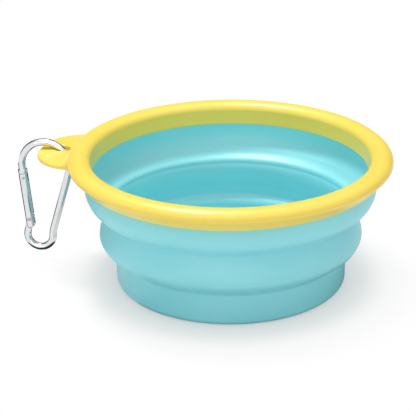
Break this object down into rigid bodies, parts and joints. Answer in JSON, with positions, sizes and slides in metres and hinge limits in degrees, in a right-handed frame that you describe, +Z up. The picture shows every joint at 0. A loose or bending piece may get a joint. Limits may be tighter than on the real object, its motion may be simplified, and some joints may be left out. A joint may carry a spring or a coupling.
{
  "type": "collapsible bowl",
  "caption": "Collapsible silicone bowl with a stiff plastic rim, a hang tab with an eyelet and a spring-gated snap hook through it.",
  "frame": {"origin": "centre of the flat underside of the base, on the surface the open bowl stands on", "axes": "+Z up along the bowl's axis, -X towards the hang tab and the snap hook, Y across them"},
  "size_m": [0.155, 0.13, 0.0552],
  "materials": {
    "rim_plastic": "semi-gloss",
    "silicone": "satin",
    "clip_metal": "polished",
    "pin_steel": "satin",
    "spring_steel": "satin",
    "plunger_brass": "satin"
  },
  "bodies": {
    "rim": {"rim_ring": "rim_plastic", "lip_band": "silicone", "upper_fold": "silicone"},
    "band": {"middle_band": "silicone", "lower_fold": "silicone"},
    "base": {"base_cup": "silicone"},
    "hook": {"clip_frame": "clip_metal", "hinge_rivet": "pin_steel"},
    "gate": {"clip_gate": "clip_metal", "latch_pin": "pin_steel", "gate_spring": "spring_steel"},
    "plunger": {"spring_plunger": "plunger_brass"}
  },
  "joints": [
    {"name": "upper_collapse", "type": "slide", "parent": "rim", "child": "band", "axis": [0, 0, 1], "range_m": [0, 0.022], "deforming": ["upper_fold"]},
    {"name": "lower_collapse", "type": "slide", "parent": "band", "child": "base", "axis": [0, 0, 1], "range_m": [0, 0.0178], "deforming": ["lower_fold"]},
    {"name": "hook_swing", "type": "hinge", "parent": "rim", "child": "hook", "pos_m": [-0.07819, -0.00144, 0.0423], "axis": [-0.0872, 0.9962, 0], "range_deg": [-35, 90]},
    {"name": "gate_pivot", "type": "hinge", "parent": "hook", "child": "gate", "pos_m": [-0.08588, -0.00211, 0.0182], "axis": [-0.0872, 0.9962, 0], "range_deg": [0, 38], "stiffness_Nm_per_rad": 0.004, "springref_deg": -28.65},
    {"name": "plunger_slide", "type": "slide", "parent": "gate", "child": "plunger", "axis": [-0.0997, -0.0087, 0.995], "range_m": [0, 0.0007], "deforming": ["gate_spring"]}
  ],
  "couplings": [
    {"joint": "plunger_slide", "follows": "gate_pivot", "m_per_rad": 0.000859}
  ]
}
